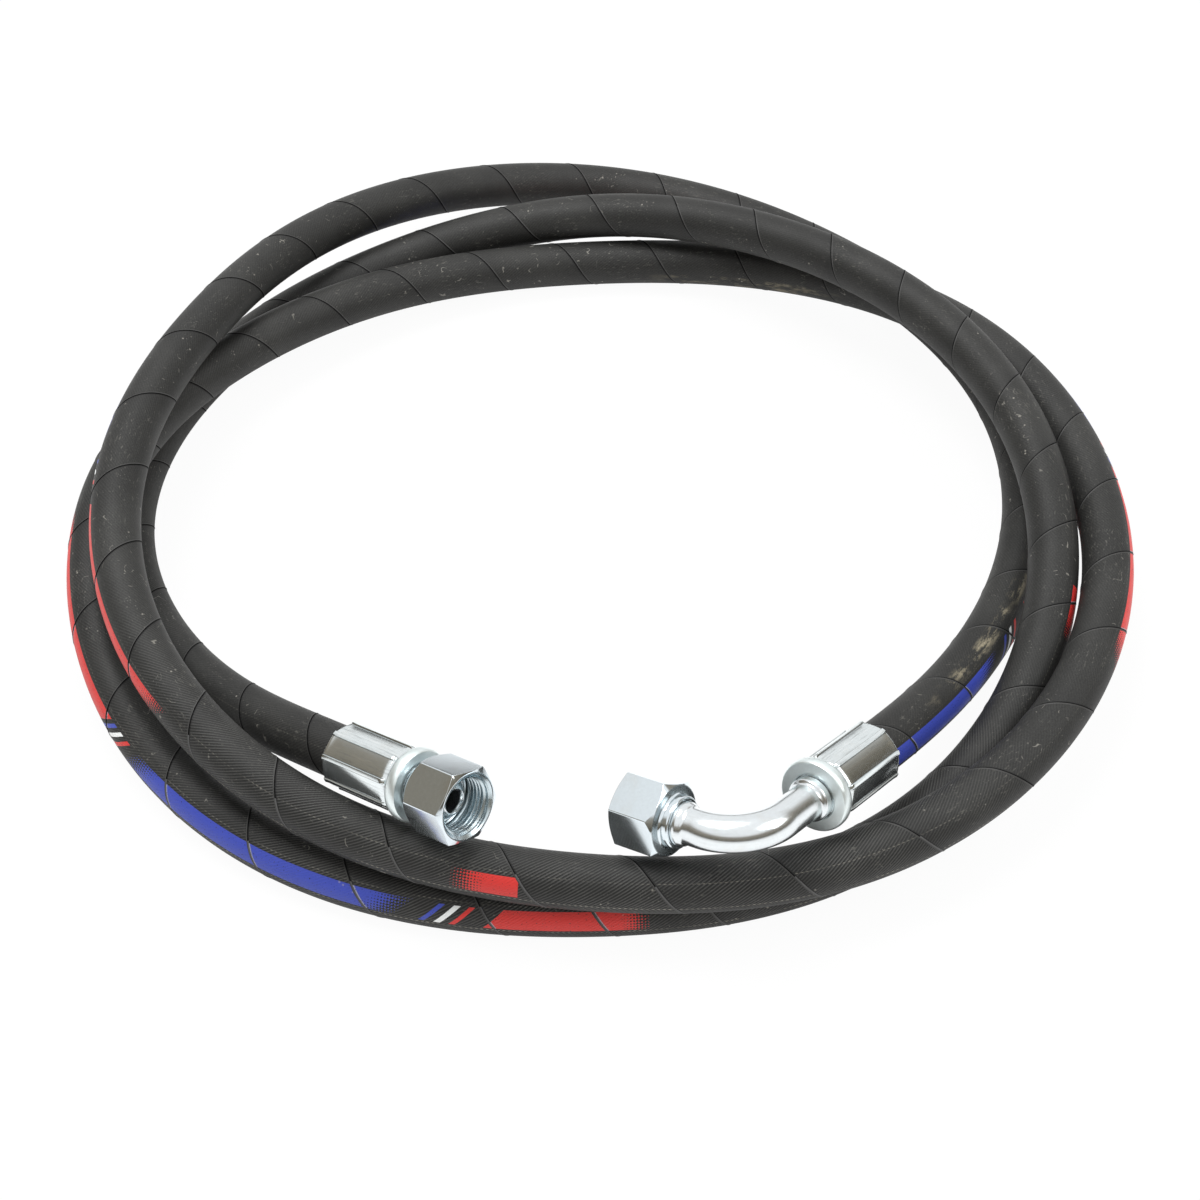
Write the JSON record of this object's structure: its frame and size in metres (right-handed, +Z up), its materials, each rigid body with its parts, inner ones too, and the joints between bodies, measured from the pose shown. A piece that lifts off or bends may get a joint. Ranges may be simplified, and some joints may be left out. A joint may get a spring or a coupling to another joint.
{
  "type": "hydraulic hose assembly",
  "caption": "Coiled black rubber hydraulic hose with crimped zinc-plated ends: a straight swivel nut fitting and a 90 degree elbow swivel nut fitting.",
  "frame": {"origin": "centre of the coil's box on the surface that it lies on", "axes": "+Z up, +Y away from the two fittings, across the longest way of the coil, +X to the right with the fittings in front, the straight one on the left"},
  "size_m": [0.3945, 0.4033, 0.0666],
  "materials": {
    "cover_rubber": "matte, cloth-wrapped",
    "tube_rubber": "smooth",
    "braid_wire": "brass-coated steel wire",
    "zinc_steel": "bright zinc plated"
  },
  "bodies": {
    "hose": {"outer_cover": "cover_rubber", "outer_wire_braid": "braid_wire", "braid_interlayer": "tube_rubber", "inner_wire_braid": "braid_wire", "inner_tube": "tube_rubber", "straight_nipple": "zinc_steel", "straight_ferrule": "zinc_steel", "elbow_nipple": "zinc_steel", "elbow_ferrule": "zinc_steel"},
    "straight_nut": {"straight_swivel_nut": "zinc_steel"},
    "elbow_nut": {"elbow_swivel_nut": "zinc_steel"}
  },
  "joints": [
    {"name": "straight_nut_swivel", "type": "hinge", "parent": "hose", "child": "straight_nut", "pos_m": [-0.05074, -0.17407, 0.0498], "axis": [0.7466, -0.5882, 0.3108], "continuous": true},
    {"name": "elbow_nut_swivel", "type": "hinge", "parent": "hose", "child": "elbow_nut", "pos_m": [0.02055, -0.18013, 0.04673], "axis": [-0.7833, 0.5416, -0.3052], "continuous": true}
  ]
}
